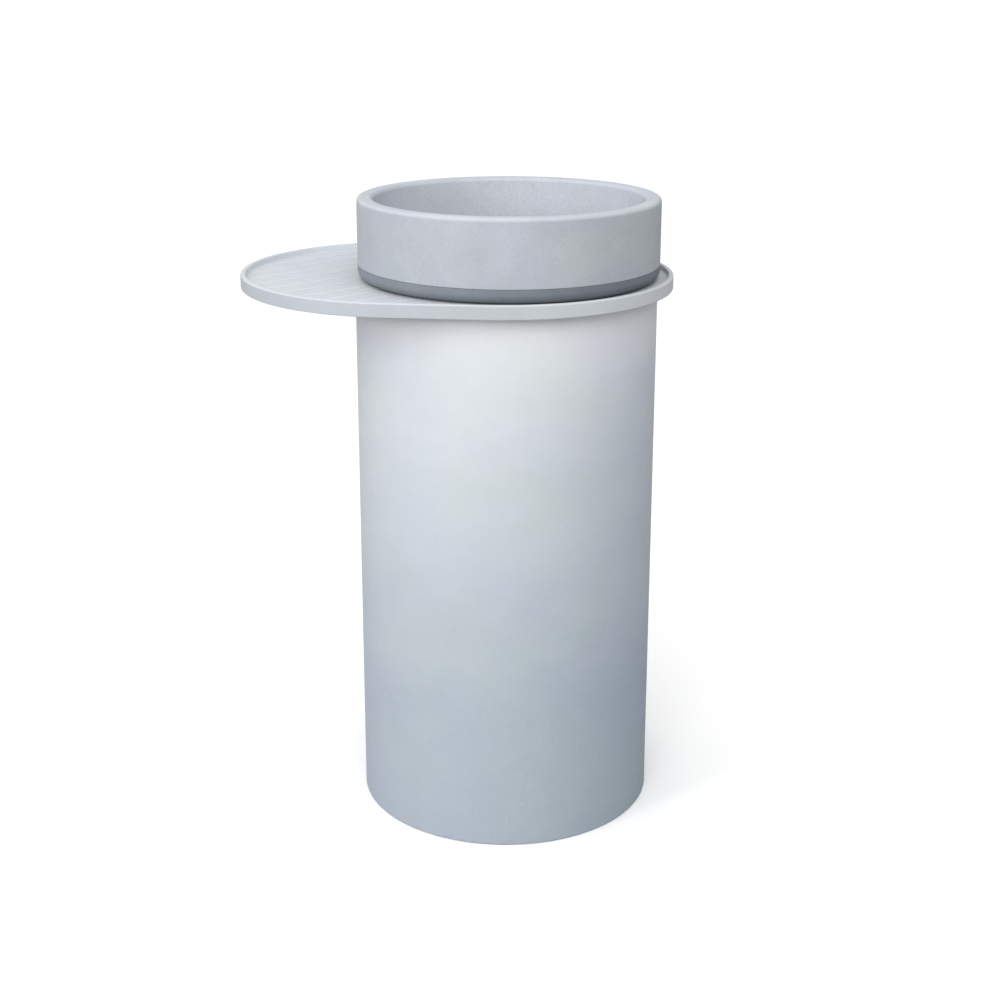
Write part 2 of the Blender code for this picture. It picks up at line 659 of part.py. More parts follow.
def make_spring(axis, low, high):
    steps = 12
    rise = high - low - 2 * SPRING_WIRE_R
    curve = bpy.data.curves.new("plug_spring", "CURVE")
    curve.dimensions = "3D"
    curve.bevel_depth = SPRING_WIRE_R
    curve.bevel_resolution = 1
    curve.use_fill_caps = True
    spline = curve.splines.new("POLY")
    count = SPRING_TURNS * steps + 1
    spline.points.add(count - 1)
    for i in range(count):
        angle = math.tau * i / steps
        z = low + SPRING_WIRE_R + rise * i / (count - 1)
        spline.points[i].co = (SPRING_R * math.cos(angle), SPRING_R * math.sin(angle), z, 1.0)
    finish(place("plug_spring", curve, parent=axis), "spring_steel")


# ---------------------------------------------------------------- bottle trap
def make_trap_inlet(axis):
    seal_top = TAIL_BOTTOM - GAP
    seal_low = seal_top - 0.0020
    flange_top = seal_low - GAP
    flange_low = flange_top - 0.0028
    lip_top = flange_low - GAP
    seal = collar("trap_inlet_seal", PIPE_BORE_R + 0.0008, TAIL_R - GAP, seal_low, seal_top,
                  SMALL_ROUND)
    finish(place("trap_inlet_seal", seal, parent=axis), "rubber")
    tube_profile = [
        (PIPE_BORE_R, DIP_END),
        (PIPE_R, DIP_END),
        (PIPE_R, flange_low),
        (TAIL_R - GAP, flange_low),
        (TAIL_R - GAP, flange_top),
        (PIPE_BORE_R, flange_top),
    ]
    tube = place("trap_dip_tube", lathe("trap_dip_tube", tube_profile, MEDIUM_ROUND), parent=axis)
    finish(tube, "white_plastic")
    nut_profile = [
        (PIPE_FIT_R, lip_top - 0.0043),
        (NUT_R, lip_top - 0.0043),
        (NUT_R, TAIL_BOTTOM + 0.0140),
        (TAIL_R + GAP, TAIL_BOTTOM + 0.0140),
        (TAIL_R + GAP, lip_top),
        (PIPE_FIT_R, lip_top),
    ]
    nut = place("trap_inlet_nut", lathe("trap_inlet_nut", nut_profile, MEDIUM_ROUND), parent=axis)
    finish(nut, "white_plastic")


def coupling_nut(name, thread_r, depth, seal_t):
    """Cap nut along +Z: its skirt starts at z = 0, its lip closes round the pipe above the seal."""
    lip = depth + seal_t + 2 * GAP
    return lathe(name, [
        (thread_r + GAP, 0.0),
        (NUT_R, 0.0),
        (NUT_R, lip + 0.0040),
        (PIPE_FIT_R, lip + 0.0040),
        (PIPE_FIT_R, lip),
        (thread_r + GAP, lip),
    ], MEDIUM_ROUND)


def make_trap_body(axis):
    body_profile = [
        (PIPE_FIT_R, NECK_TOP),
        (NECK_R, NECK_TOP),
        (NECK_R, NECK_BOTTOM),
        (TRAP_R - 0.0015, TRAP_SHOULDER),
        (TRAP_R, TRAP_SHOULDER - 0.0015),
        (TRAP_R, THREAD_TOP),
        (THREAD_R, THREAD_TOP),
        (THREAD_R, THREAD_BOTTOM),
        (TRAP_BORE_R, THREAD_BOTTOM),
        (TRAP_BORE_R, TRAP_SHOULDER - TRAP_WALL_TOP),
        (PIPE_FIT_R, TRAP_SHOULDER - TRAP_WALL_TOP),
    ]
    body = place("trap_body", lathe("trap_body", body_profile, MEDIUM_ROUND), parent=axis)
    stub = cylinder("outlet_stub", STUB_R, 0.0, STUB_END_Y - 0.0295, MEDIUM_ROUND)
    boolean(body, cutter("outlet_stub", stub, parent=axis, **lies_along_y(0.0295)), "UNION")
    bore = cylinder("outlet_bore", PIPE_FIT_R, 0.0, STUB_END_Y, MEDIUM_ROUND)
    boolean(body, cutter("outlet_bore", bore, parent=axis, **lies_along_y(0.010)), "DIFFERENCE")
    finish(body, "white_plastic")

    seal_t = 0.0030
    top_skirt = 0.0140
    top_nut = coupling_nut("trap_top_nut", NECK_R, top_skirt, seal_t)
    finish(place("trap_top_nut", top_nut, parent=axis,
                 location=(0.0, 0.0, NECK_TOP - top_skirt)), "white_plastic")
    top_seal = collar("trap_top_seal", PIPE_FIT_R, NECK_R - GAP, NECK_TOP + GAP,
                      NECK_TOP + GAP + seal_t, SMALL_ROUND)
    finish(place("trap_top_seal", top_seal, parent=axis), "rubber")

    side_skirt = 0.0120
    side_nut = coupling_nut("outlet_nut", STUB_R, side_skirt, seal_t)
    finish(place("outlet_nut", side_nut, parent=axis, **lies_along_y(STUB_END_Y - side_skirt)),
           "white_plastic")
    side_seal = collar("outlet_seal", PIPE_FIT_R, STUB_R - GAP, 0.0, seal_t, SMALL_ROUND)
    finish(place("outlet_seal", side_seal, parent=axis, **lies_along_y(STUB_END_Y + GAP)),
           "rubber")
    pipe = collar("outlet_pipe", PIPE_BORE_R, PIPE_R, 0.0,
                  OUTLET_PIPE_END_Y - OUTLET_PIPE_START_Y, MEDIUM_ROUND)
    finish(place("outlet_pipe", pipe, parent=axis, **lies_along_y(OUTLET_PIPE_START_Y)),
           "white_plastic")


def make_trap_cup(axis):
    """The cup screws up over the trap body's thread, and its seal sits on the ledge inside."""
    collar_r = THREAD_R + GAP
    cup_profile = [
        (0.0, CUP_BOTTOM),
        (0.0180, CUP_BOTTOM + 0.0005),
        (0.0285, CUP_BOTTOM + 0.0075),
        (CUP_R, CUP_BOTTOM + 0.0220),
        (CUP_R, CUP_LEDGE - 0.0050),
        (CUP_COLLAR_R, CUP_LEDGE - 0.0010),
        (CUP_COLLAR_R, THREAD_TOP - 0.0007),
        (collar_r, THREAD_TOP - 0.0007),
        (collar_r, CUP_LEDGE),
        (CUP_BORE_R, CUP_LEDGE),
        (CUP_BORE_R, CUP_BOTTOM + 0.0230),
        (0.0258, CUP_BOTTOM + 0.0105),
        (0.0165, CUP_BOTTOM + 0.0040),
        (0.0, CUP_BOTTOM + 0.0035),
    ]
    cup = place("trap_cup", lathe("trap_cup", cup_profile, MEDIUM_ROUND), parent=axis)
    finish(cup, "white_plastic")
    ring = collar("cup_seal", CUP_BORE_R + GAP, THREAD_R - 0.0002, CUP_LEDGE + GAP,
                  THREAD_BOTTOM - GAP, MEDIUM_ROUND)
    finish(place("cup_seal", ring, parent=axis), "rubber")


# ---------------------------------------------------------------- assembly
def build():
    clear_scene()
    pedestal_axis = axis_empty("pedestal_axis", PEDESTAL_X)
    waste_axis = axis_empty("waste_axis", WASTE_X)
    make_pedestal(pedestal_axis)
    make_brackets(pedestal_axis)
    make_tray()
    make_basin(waste_axis)
    make_seals(waste_axis, pedestal_axis)
    make_studs(waste_axis)
    flange_top = make_waste(waste_axis)
    bore_floor = make_cartridge(waste_axis)
    make_plug(waste_axis, flange_top, bore_floor)
    make_trap_inlet(waste_axis)
    make_trap_body(waste_axis)
    make_trap_cup(waste_axis)


build()
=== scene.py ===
"""Looks of the pedestal washbasin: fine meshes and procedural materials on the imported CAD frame.

Metres, +Z up, front at -Y. Every place comes from the frame's boxes; the few sizes that a box
can't give, such as wall thicknesses and edge radii, are the named values below.
"""
import json
import math

import bmesh
import bpy
from mathutils import Matrix, Vector


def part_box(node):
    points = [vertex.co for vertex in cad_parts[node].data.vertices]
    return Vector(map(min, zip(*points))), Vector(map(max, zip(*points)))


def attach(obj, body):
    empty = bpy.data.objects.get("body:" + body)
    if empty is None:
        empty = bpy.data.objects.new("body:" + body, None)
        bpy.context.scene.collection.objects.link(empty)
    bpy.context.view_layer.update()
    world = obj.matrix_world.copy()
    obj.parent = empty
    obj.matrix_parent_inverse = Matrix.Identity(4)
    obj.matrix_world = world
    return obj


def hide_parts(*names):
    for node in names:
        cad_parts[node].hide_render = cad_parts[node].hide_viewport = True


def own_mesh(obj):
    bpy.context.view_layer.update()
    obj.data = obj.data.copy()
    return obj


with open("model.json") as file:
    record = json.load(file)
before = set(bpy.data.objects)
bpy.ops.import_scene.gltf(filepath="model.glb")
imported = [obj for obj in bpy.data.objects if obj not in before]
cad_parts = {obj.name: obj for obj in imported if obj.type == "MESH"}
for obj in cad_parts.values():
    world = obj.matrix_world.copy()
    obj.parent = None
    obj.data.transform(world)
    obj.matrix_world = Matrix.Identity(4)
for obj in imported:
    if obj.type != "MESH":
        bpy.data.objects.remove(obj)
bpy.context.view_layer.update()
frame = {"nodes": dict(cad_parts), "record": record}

GAP = 0.0003

# pedestal
PEDESTAL_WALL = 0.0250
DECK_THICKNESS = 0.0280
OPENING_HALF_WIDTH = 0.1000
OPENING_TOP = 0.6400
OPENING_CORNER = 0.0300
DECK_HOLE_R = 0.0400
PEDESTAL_EDGE = 0.0018
CHIP_ANGLE = math.radians(252.5)

# tray
LIP_WIDTH = 0.0065
LIP_HEIGHT = 0.0063
TRAY_HOLE_R = 0.0360
TRAY_BOTTOM_ROUND = 0.0012
TRAY_TOP_ROUND = 0.0020
LIP_INNER_ROUND = 0.0012
RIB_PITCH = 0.0348
RIB_PHASE = 0.0046
RIB_WIDTH = 0.0030
RIB_HEIGHT = 0.0009
RIB_ROOT = 0.0010
RIB_ANGLE = math.radians(47.0)
RIB_CLEARANCE = 0.0060

# basin
BASIN_WALL = 0.0210
RIM_ROUND = 0.0055
BASE_ROUND = 0.0120
BOWL_CORNER = 0.0220
BOWL_DRAFT = 0.0020
BOWL_FALL = 0.0035
BASE_DISH_R = 0.1880
BASE_DISH_FLOOR = 0.0100
OUTLET_HOLE_R = 0.0235
FLANGE_RECESS_R = 0.0350
FLANGE_RECESS = 0.0045

STUD_HOLE_R = 0.0060

# plug spring
SPRING_WIRE_R = 0.0005
SPRING_TURNS = 6

LARGE_ROUND = 256
SMALL_ROUND = 96


# ---------------------------------------------------------------- places read from the frame
def middle(node):
    low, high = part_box(node)
    return (low + high) / 2


PEDESTAL_X = middle("pedestal_shell").x
WASTE_X = middle("waste_body").x
STUDS = [middle(f"stud_{n}").xy for n in (1, 2, 3)]


# ---------------------------------------------------------------- mesh helpers
def arc(centre_r, centre_z, radius, start_deg, end_deg, steps):
    """(r, z) points of an arc; 0 degrees points out along r and 90 degrees up."""
    turn = (end_deg - start_deg) / steps
    angles = [math.radians(start_deg + turn * i) for i in range(steps + 1)]
    return [(centre_r + radius * math.cos(a), centre_z + radius * math.sin(a)) for a in angles]


def strip(bm, a, b):
    """Quads between two closed rings with the same number of vertices."""
    for i in range(len(a)):
        j = (i + 1) % len(a)
        bm.faces.new((a[i], a[j], b[j], b[i]))


def turned(profile, segments):
    """A body turned about Z from its (radius, z) section; radius 0 is a point on the axis."""
    bm = bmesh.new()
    angles = [math.tau * i / segments for i in range(segments)]
    rings = []
    for r, z in profile:
        if r < 1e-9:
            rings.append([bm.verts.new((0.0, 0.0, z))])
        else:
            rings.append([bm.verts.new((r * math.cos(a), r * math.sin(a), z)) for a in angles])
    pairs = list(zip(rings, rings[1:]))
    if len(rings[0]) > 1:
        pairs.append((rings[-1], rings[0]))
    for a, b in pairs:
        if len(a) == 1 and len(b) == 1:
            continue
        if len(a) == 1:
            for i in range(len(b)):
                bm.faces.new((a[0], b[(i + 1) % len(b)], b[i]))
        elif len(b) == 1:
            for i in range(len(a)):
                bm.faces.new((a[i], a[(i + 1) % len(a)], b[0]))
        else:
            strip(bm, a, b)
    return bm


def to_mesh(name, bm):
    bmesh.ops.remove_doubles(bm, verts=bm.verts, dist=1e-6)
    bmesh.ops.recalc_face_normals(bm, faces=bm.faces)
    mesh = bpy.data.meshes.new(name)
    bm.to_mesh(mesh)
    bm.free()
    return mesh


def link(name, mesh, at=(0.0, 0.0, 0.0)):
    piece = bpy.data.objects.new(name, mesh)
    piece.location = at
    bpy.context.scene.collection.objects.link(piece)
    return piece


def apply_modifiers(piece):
    """Bake the modifiers into the mesh, so that later steps work on plain geometry."""
    bpy.context.view_layer.update()
    seen = piece.evaluated_get(bpy.context.evaluated_depsgraph_get())
    mesh = bpy.data.meshes.new_from_object(seen)
    piece.modifiers.clear()
    piece.data = mesh


def cut(piece, tools, operation="DIFFERENCE"):
    for n, tool in enumerate(tools):
        modifier = piece.modifiers.new(f"{operation.lower()}_{n}", "BOOLEAN")
        modifier.object = tool
        modifier.operation = operation
        modifier.solver = "EXACT"
    apply_modifiers(piece)
    for tool in tools:
        bpy.data.objects.remove(tool)


def round_edges(piece, width):
    modifier = piece.modifiers.new("round_edges", "BEVEL")
    modifier.width = width
    modifier.segments = 3
    modifier.limit_method = "ANGLE"
    modifier.angle_limit = math.radians(40.0)
    apply_modifiers(piece)


def finish_piece(piece, material, body, slot, *nodes, sharp=35.0):
    mesh = piece.data
    mesh.materials.clear()
    mesh.materials.append(material)
    mesh.shade_smooth()
    mesh.set_sharp_from_angle(angle=math.radians(sharp))
    normals = piece.modifiers.new("flat_faces_stay_flat", "WEIGHTED_NORMAL")
    normals.keep_sharp = True
    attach(piece, body)
    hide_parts(*nodes)
    return piece


def drill(name, x, y, radius, low, high, segments=48):
    profile = [(0.0, low), (radius, low), (radius, high), (0.0, high)]
    return link(name, to_mesh(name, turned(profile, segments)), at=(x, y, 0.0))


# ---------------------------------------------------------------- material helpers
class Shader:
    """One material's node tree, with short calls for the nodes used here."""

    def __init__(self, name, roughness, metallic=0.0):
        self.material = bpy.data.materials.new(name)
        self.material.use_nodes = True
        self.tree = self.material.node_tree
        self.out = self.tree.nodes["Principled BSDF"]
        self.out.inputs["Roughness"].default_value = roughness
        self.out.inputs["Metallic"].default_value = metallic
        self.place = self.add("ShaderNodeTexCoord").outputs["Object"]

    def add(self, kind, **settings):
        node = self.tree.nodes.new(kind)
        for key, value in settings.items():
            setattr(node, key, value)
        return node

    def put(self, socket, value):
        if isinstance(value, bpy.types.NodeSocket):
            self.tree.links.new(value, socket)
        else:
            socket.default_value = value

    def noise(self, scale, detail=3.0, roughness=0.5, vector=None):
        node = self.add("ShaderNodeTexNoise")
        self.put(node.inputs["Vector"], vector or self.place)
        node.inputs["Scale"].default_value = scale
        node.inputs["Detail"].default_value = detail
        node.inputs["Roughness"].default_value = roughness
        return node.outputs["Fac"]

    def stretched(self, scale):
        node = self.add("ShaderNodeMapping")
        self.put(node.inputs["Vector"], self.place)
        node.inputs["Scale"].default_value = scale
        return node.outputs["Vector"]

    def cells(self, scale):
        node = self.add("ShaderNodeTexVoronoi")
        self.put(node.inputs["Vector"], self.place)
        node.inputs["Scale"].default_value = scale
        return node

    def span(self, value, low, high, to_low=0.0, to_high=1.0, smooth=False):
        node = self.add("ShaderNodeMapRange")
        if smooth:
            node.interpolation_type = "SMOOTHSTEP"
        self.put(node.inputs["Value"], value)
        node.inputs["From Min"].default_value = low
        node.inputs["From Max"].default_value = high
        node.inputs["To Min"].default_value = to_low
        node.inputs["To Max"].default_value = to_high
        return node.outputs["Result"]

    def math(self, operation, a, b=0.0):
        node = self.add("ShaderNodeMath", operation=operation)
        self.put(node.inputs[0], a)
        self.put(node.inputs[1], b)
        return node.outputs["Value"]

    def mix(self, factor, a, b, blend="MIX"):
        node = self.add("ShaderNodeMix", data_type="RGBA", blend_type=blend)
        self.put(node.inputs["Factor"], factor)
        colours = [s for s in node.inputs if s.type == "RGBA"]
        for socket, value in zip(colours, (a, b)):
            self.put(socket, value if isinstance(value, bpy.types.NodeSocket) else (*value, 1.0))
        return [s for s in node.outputs if s.type == "RGBA"][0]

    def axis(self, name):
        node = self.add("ShaderNodeSeparateXYZ")
        self.put(node.inputs["Vector"], self.place)
        return node.outputs[name]

    def facing_up(self):
        """1 on faces that look straight up, 0 on walls and undersides."""
        node = self.add("ShaderNodeSeparateXYZ")
        self.put(node.inputs["Vector"],
                 self.add("ShaderNodeTexCoord").outputs["Normal"])
        return self.math("MAXIMUM", node.outputs["Z"], 0.0)

    def bump(self, height, distance, strength=1.0, normal=None):
        node = self.add("ShaderNodeBump")
        node.inputs["Distance"].default_value = distance
        node.inputs["Strength"].default_value = strength
        self.put(node.inputs["Height"], height)
        if normal is not None:
            self.put(node.inputs["Normal"], normal)
        return node.outputs["Normal"]

    def colour(self, value):
        self.put(self.out.inputs["Base Color"],
                 value if isinstance(value, bpy.types.NodeSocket) else (*value, 1.0))

    def rough(self, value):
        self.put(self.out.inputs["Roughness"], value)

    def normal(self, value):
        self.put(self.out.inputs["Normal"], value)


def shade(colour, factor):
    return tuple(channel * factor for channel in colour)


# ---------------------------------------------------------------- concrete
def concrete(name, light, dark, tone, grain, patch, pores=False, worn=None):
    """Cast tinted concrete. tone(shader) gives the slow change from the light to the dark colour;
    besides the tint it carries painted light and shade.

    Over it lie bluish and greenish patches, a fine sandy grain and, where asked for, sparse
    air-bubble pores. worn(shader), if given, says where the sandy grain is stronger.
    """
    s = Shader(name, 0.7)
    body = s.mix(tone(s), light, dark)
    drift = s.span(s.noise(7.0, 3.0, 0.55), 0.36, 0.64, smooth=True)
    lilac = s.mix(patch, body, (0.93, 0.94, 1.10), "MULTIPLY")
    sage = s.mix(patch, body, (1.0, 1.03, 0.99), "MULTIPLY")
    body = s.mix(drift, lilac, sage)
    mottle = s.span(s.noise(26.0, 4.0, 0.6), 0.3, 0.7, 1.0 - grain * 0.6, 1.0 + grain * 0.6)
    sand = s.span(s.noise(620.0, 2.0, 0.7), 0.3, 0.7, -grain, grain)
    if worn:
        sand = s.math("MULTIPLY", sand, worn(s))
    value = s.math("MULTIPLY", mottle, s.math("ADD", sand, 1.0))
    spread = s.add("ShaderNodeCombineXYZ")
    for axis in "XYZ":
        s.put(spread.inputs[axis], value)
    body = s.mix(1.0, body, spread.outputs["Vector"], "MULTIPLY")
    s.rough(s.span(s.noise(40.0, 3.0), 0.3, 0.7, 0.62, 0.78))
    fine = s.bump(s.noise(900.0, 3.0, 0.65), 0.00022)
    relief = s.bump(s.noise(22.0, 3.0, 0.5), 0.0011, 0.35, fine)
    if pores:
        pit = air_bubbles(s)
        # painted shade: the pits are coloured dark as the shade in their hollows
        body = s.mix(pit, body, shade(dark, 0.35))
        relief = s.bump(s.math("SUBTRACT", 1.0, pit), 0.0008, 0.9, relief)
    s.colour(body)
    s.normal(relief)
    return s.material


def air_bubbles(s):
    """1 inside the small pits that trapped air leaves: one in five cells has one."""
    pits = s.cells(16.0)
    wobble = s.noise(300.0, 2.0)
    distance = s.math("ADD", pits.outputs["Distance"], s.math("MULTIPLY", wobble, 0.012))
    chosen = s.add("ShaderNodeSeparateColor")
    s.put(chosen.inputs["Color"], pits.outputs["Color"])
    rare = s.span(chosen.outputs["Red"], 0.80, 0.81)
    size = s.span(chosen.outputs["Green"], 0.0, 1.0, 0.012, 0.026)
    return s.math("MULTIPLY", s.math("LESS_THAN", distance, size), rare)


def painted_side_shade(s, slope, curve):
    """Painted shade that deepens towards +X, away from the light: slope * x + curve * x squared, x
    from the piece's centre.
    """
    side = s.axis("X")
    square = s.math("MULTIPLY", side, side)
    return s.math("ADD", s.math("MULTIPLY", side, slope), s.math("MULTIPLY", square, curve))


def pedestal_tint_and_painted_light(s):
    """Pale at the top left, turning blue-grey towards the foot and the right, in soft clouds. The
    darkening towards the foot is partly the concrete's tint and partly painted shade, the
    darkening to the right is painted shade, and the top under the tray is lifted with painted
    light.
    """
    cloud = s.span(s.noise(3.2, 3.0, 0.5, s.stretched((1.0, 1.0, 2.6))), 0.3, 0.7, -0.06, 0.06)
    height = s.math("ADD", s.axis("Z"), cloud)
    # darker towards the foot: partly the concrete's own tint, partly painted shade where less
    # light reaches the foot
    foot_tint_and_painted_shade = s.span(height, 0.64, 0.19, 0.26, 0.76)
    # painted light: the band just under the tray is made paler, most of all on the right
    top = s.math("MULTIPLY", s.span(s.axis("Z"), 0.60, 0.70, 0.0, -0.24, smooth=True),
                 s.span(s.axis("X"), -0.20, 0.12, 0.3, 1.2))
    return s.math("ADD", s.math("ADD", foot_tint_and_painted_shade, top), painted_side_shade(s, 0.48, 2.4))


def pedestal_wear(s):
    """The sandy grain shows more towards the foot."""
    return s.span(s.axis("Z"), 0.66, 0.10, 1.2, 2.6)


def inside_bowl(s):
    """1 on the basin's inner wall and floor, 0 on its outside."""
    x, y = s.axis("X"), s.axis("Y")
    square = s.math("ADD", s.math("MULTIPLY", x, x), s.math("MULTIPLY", y, y))
    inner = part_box("basin_bowl")[1].x - WASTE_X - BASIN_WALL
    return s.math("LESS_THAN", square, (inner + 0.0010) ** 2)


def bowl_tint_and_painted_light(s):
    """Soft clouds of tint, with painted shade a little deeper to the right, painted light on the
    inside and a painted highlight on the rim's arris.
    """
    cloud = s.span(s.noise(5.0, 4.0, 0.55), 0.32, 0.68, 0.38, 0.68)
    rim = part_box("basin_bowl")[1].z
    # painted highlight along the rim's rounded arris
    painted_rim_highlight = s.span(s.axis("Z"), rim - RIM_ROUND, rim - RIM_ROUND / 3, 0.0, -0.36, smooth=True)
    outside = s.math("ADD", s.math("ADD", cloud, painted_rim_highlight), painted_side_shade(s, 0.2, 4.0))
    # painted light: the inside of the bowl is made paler
    return s.math("SUBTRACT", outside, s.math("MULTIPLY", inside_bowl(s), 0.50))


def bowl_wear(s):
    """The sandy grain shows more on the inside."""
    return s.span(inside_bowl(s), 0.0, 1.0, 1.3, 2.6)


def base_tint_and_painted_shade(s):
    """Blotchy tint, and painted shade darker towards the right."""
    cloud = s.span(s.noise(6.0, 4.0, 0.55), 0.32, 0.68, -0.20, 0.20)
    # painted shade: darker towards the right, away from the light
    return s.math("ADD", s.span(s.axis("X"), -0.16, 0.16), cloud)


def tray_tint_and_painted_light(s):
    """The slab's tint in soft clouds, with painted shade on its outer side faces, a painted
    highlight on the ribs and painted light on the lip's inner wall.
    """
    _, high, radius, span, _ = tray_shape()
    x, y = s.axis("X"), s.axis("Y")
    past = s.math("MAXIMUM", s.math("SUBTRACT", s.math("ABSOLUTE", x), span / 2), 0.0)
    square = s.math("ADD", s.math("MULTIPLY", past, past), s.math("MULTIPLY", y, y))
    outside = s.math("GREATER_THAN", square, (radius - LIP_WIDTH / 2) ** 2)
    steep = s.math("SUBTRACT", 1.0, s.facing_up())
    # painted shade on the slab's outer side faces, deepest at the left end and fading towards the
    # right
    fade = s.math("ADD", s.span(x, 0.05, 0.22, 0.32, 0.05), s.span(x, -0.17, -0.28, 0.0, 0.20))
    edge = s.math("MULTIPLY", s.math("MULTIPLY", outside, steep), fade)
    raised = s.math("GREATER_THAN", s.axis("Z"), high - LIP_HEIGHT + RIB_HEIGHT / 4)
    inner = s.math("LESS_THAN", square, (radius - LIP_WIDTH - 2 * LIP_INNER_ROUND) ** 2)
    # the ribs' tops carry a painted highlight
    rib = s.math("MULTIPLY", s.math("MULTIPLY", inner, raised), 0.26)
    lip = s.math("MULTIPLY", s.math("SUBTRACT", 1.0, outside), s.math("SUBTRACT", 1.0, inner))
    # painted light on the ribs and on the lip's inner wall
    painted_rib_and_lip_light = s.math("ADD", rib, s.math("MULTIPLY", s.math("MULTIPLY", lip, steep), 0.65))
    cloud = s.span(s.noise(9.0, 4.0), 0.3, 0.7, 0.60, 0.72)
    return s.math("SUBTRACT", s.math("ADD", cloud, edge), painted_rib_and_lip_light)


# ---------------------------------------------------------------- other materials
def metal(name, colour, roughness, brush=0.0):
    """Metal with a faint smear; brush is the depth of its fine drawn lines."""
    s = Shader(name, roughness, 1.0)
    smear = s.noise(6.0, 3.0)
    s.colour(s.mix(s.span(smear, 0.3, 0.7), shade(colour, 0.92), colour))
    s.rough(s.span(s.noise(30.0, 3.0), 0.3, 0.7, roughness * 0.8, roughness * 1.25))
    if brush:
        lines = s.noise(1.0, 2.0, 0.6, s.stretched((40.0, 40.0, 900.0)))
        s.normal(s.bump(lines, brush, 0.5))
    return s.material


def plastic(name, colour, roughness, grain=0.00004):
    s = Shader(name, roughness)
    s.colour(s.mix(s.span(s.noise(14.0, 3.0), 0.3, 0.7), shade(colour, 0.96), colour))
    s.rough(s.span(s.noise(60.0, 3.0), 0.3, 0.7, roughness * 0.85, roughness * 1.15))
    s.normal(s.bump(s.noise(1400.0, 2.0), grain, 0.6))
    return s.material


# ---------------------------------------------------------------- pedestal
def pedestal_columns():
    """(outer x, y, inner x, y, bottom z) of each column of the wall, counter-clockwise.

    Columns across the service opening start at its arch; the others start on the floor.
    """
    low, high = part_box("pedestal_shell")
    outer = (high.x - low.x) / 2
    inner = outer - PEDESTAL_WALL
    columns = []
    wall = LARGE_ROUND - 60
    for i in range(wall + 1):
        t = i / wall
        angles = []
        for radius in (outer, inner):
            half = math.asin(OPENING_HALF_WIDTH / radius)
            start = math.pi / 2 + half
            angles.append(start + t * (math.tau - 2 * half))
        columns.append((outer * math.cos(angles[0]), outer * math.sin(angles[0]),
                        inner * math.cos(angles[1]), inner * math.sin(angles[1]), 0.0))
    flat = OPENING_HALF_WIDTH - OPENING_CORNER
    spring = OPENING_TOP - OPENING_CORNER
    arch = arc(flat, spring, OPENING_CORNER, 0, 90, 12)[1:]
    arch += [(flat - 2 * flat * i / 30, OPENING_TOP) for i in range(1, 30)]
    arch += [(-x, z) for x, z in reversed(arc(flat, spring, OPENING_CORNER, 0, 90, 12)[1:])]
    for x, z in arch:
        columns.append((x, math.sqrt(outer ** 2 - x ** 2), x, math.sqrt(inner ** 2 - x ** 2), z))
    return columns


def pedestal_mesh(top):
    columns = pedestal_columns()
    count = len(columns)
    arch_starts = next(i for i, c in enumerate(columns) if c[4] > 0.0)
    spring = OPENING_TOP - OPENING_CORNER
    deck_low = top - DECK_THICKNESS
    hole_x = WASTE_X - PEDESTAL_X
    bm = bmesh.new()

    def ring(points):
        return [bm.verts.new(p) for p in points]

    foot_out = {i: bm.verts.new((c[0], c[1], 0.0)) for i, c in enumerate(columns) if c[4] == 0.0}
    foot_in = {i: bm.verts.new((c[2], c[3], 0.0)) for i, c in enumerate(columns) if c[4] == 0.0}
    mid_out = ring([(c[0], c[1], max(c[4], spring)) for c in columns])
    mid_in = ring([(c[2], c[3], max(c[4], spring)) for c in columns])
    top_out = ring([(c[0], c[1], top) for c in columns])
    top_in = ring([(c[2], c[3], deck_low) for c in columns])
    around = [Vector((c[0], c[1])).normalized() * DECK_HOLE_R for c in columns]
    hole_top = ring([(p.x + hole_x, p.y, top) for p in around])
    hole_low = ring([(p.x + hole_x, p.y, deck_low) for p in around])

    strip(bm, mid_out, top_out)
    strip(bm, top_out, hole_top)
    strip(bm, hole_top, hole_low)
    strip(bm, hole_low, top_in)
    strip(bm, top_in, mid_in)
    for i in range(arch_starts - 1):
        bm.faces.new((foot_out[i], foot_out[i + 1], mid_out[i + 1], mid_out[i]))
        bm.faces.new((foot_in[i + 1], foot_in[i], mid_in[i], mid_in[i + 1]))
        bm.faces.new((foot_out[i + 1], foot_out[i], foot_in[i], foot_in[i + 1]))
    for i in (0, arch_starts - 1):
        bm.faces.new((foot_out[i], mid_out[i], mid_in[i], foot_in[i]))
    for i in range(arch_starts - 1, count):
        j = (i + 1) % count
        bm.faces.new((mid_out[i], mid_out[j], mid_in[j], mid_in[i]))
    return to_mesh("pedestal", bm)


def chip_tool(radius, at):
    """A rough lump that takes a small conchoidal chip out of the foot's edge."""
    bm = bmesh.new()
    bmesh.ops.create_icosphere(bm, subdivisions=3, radius=radius)
    for vert in bm.verts:
        n = vert.co.normalized()
        vert.co *= 1.0 + 0.10 * math.sin(9 * n.x + 4 * n.z) + 0.08 * math.sin(13 * n.y - 6 * n.x)
        vert.co.z *= 0.55
    return link("chip", to_mesh("chip", bm), at=at)


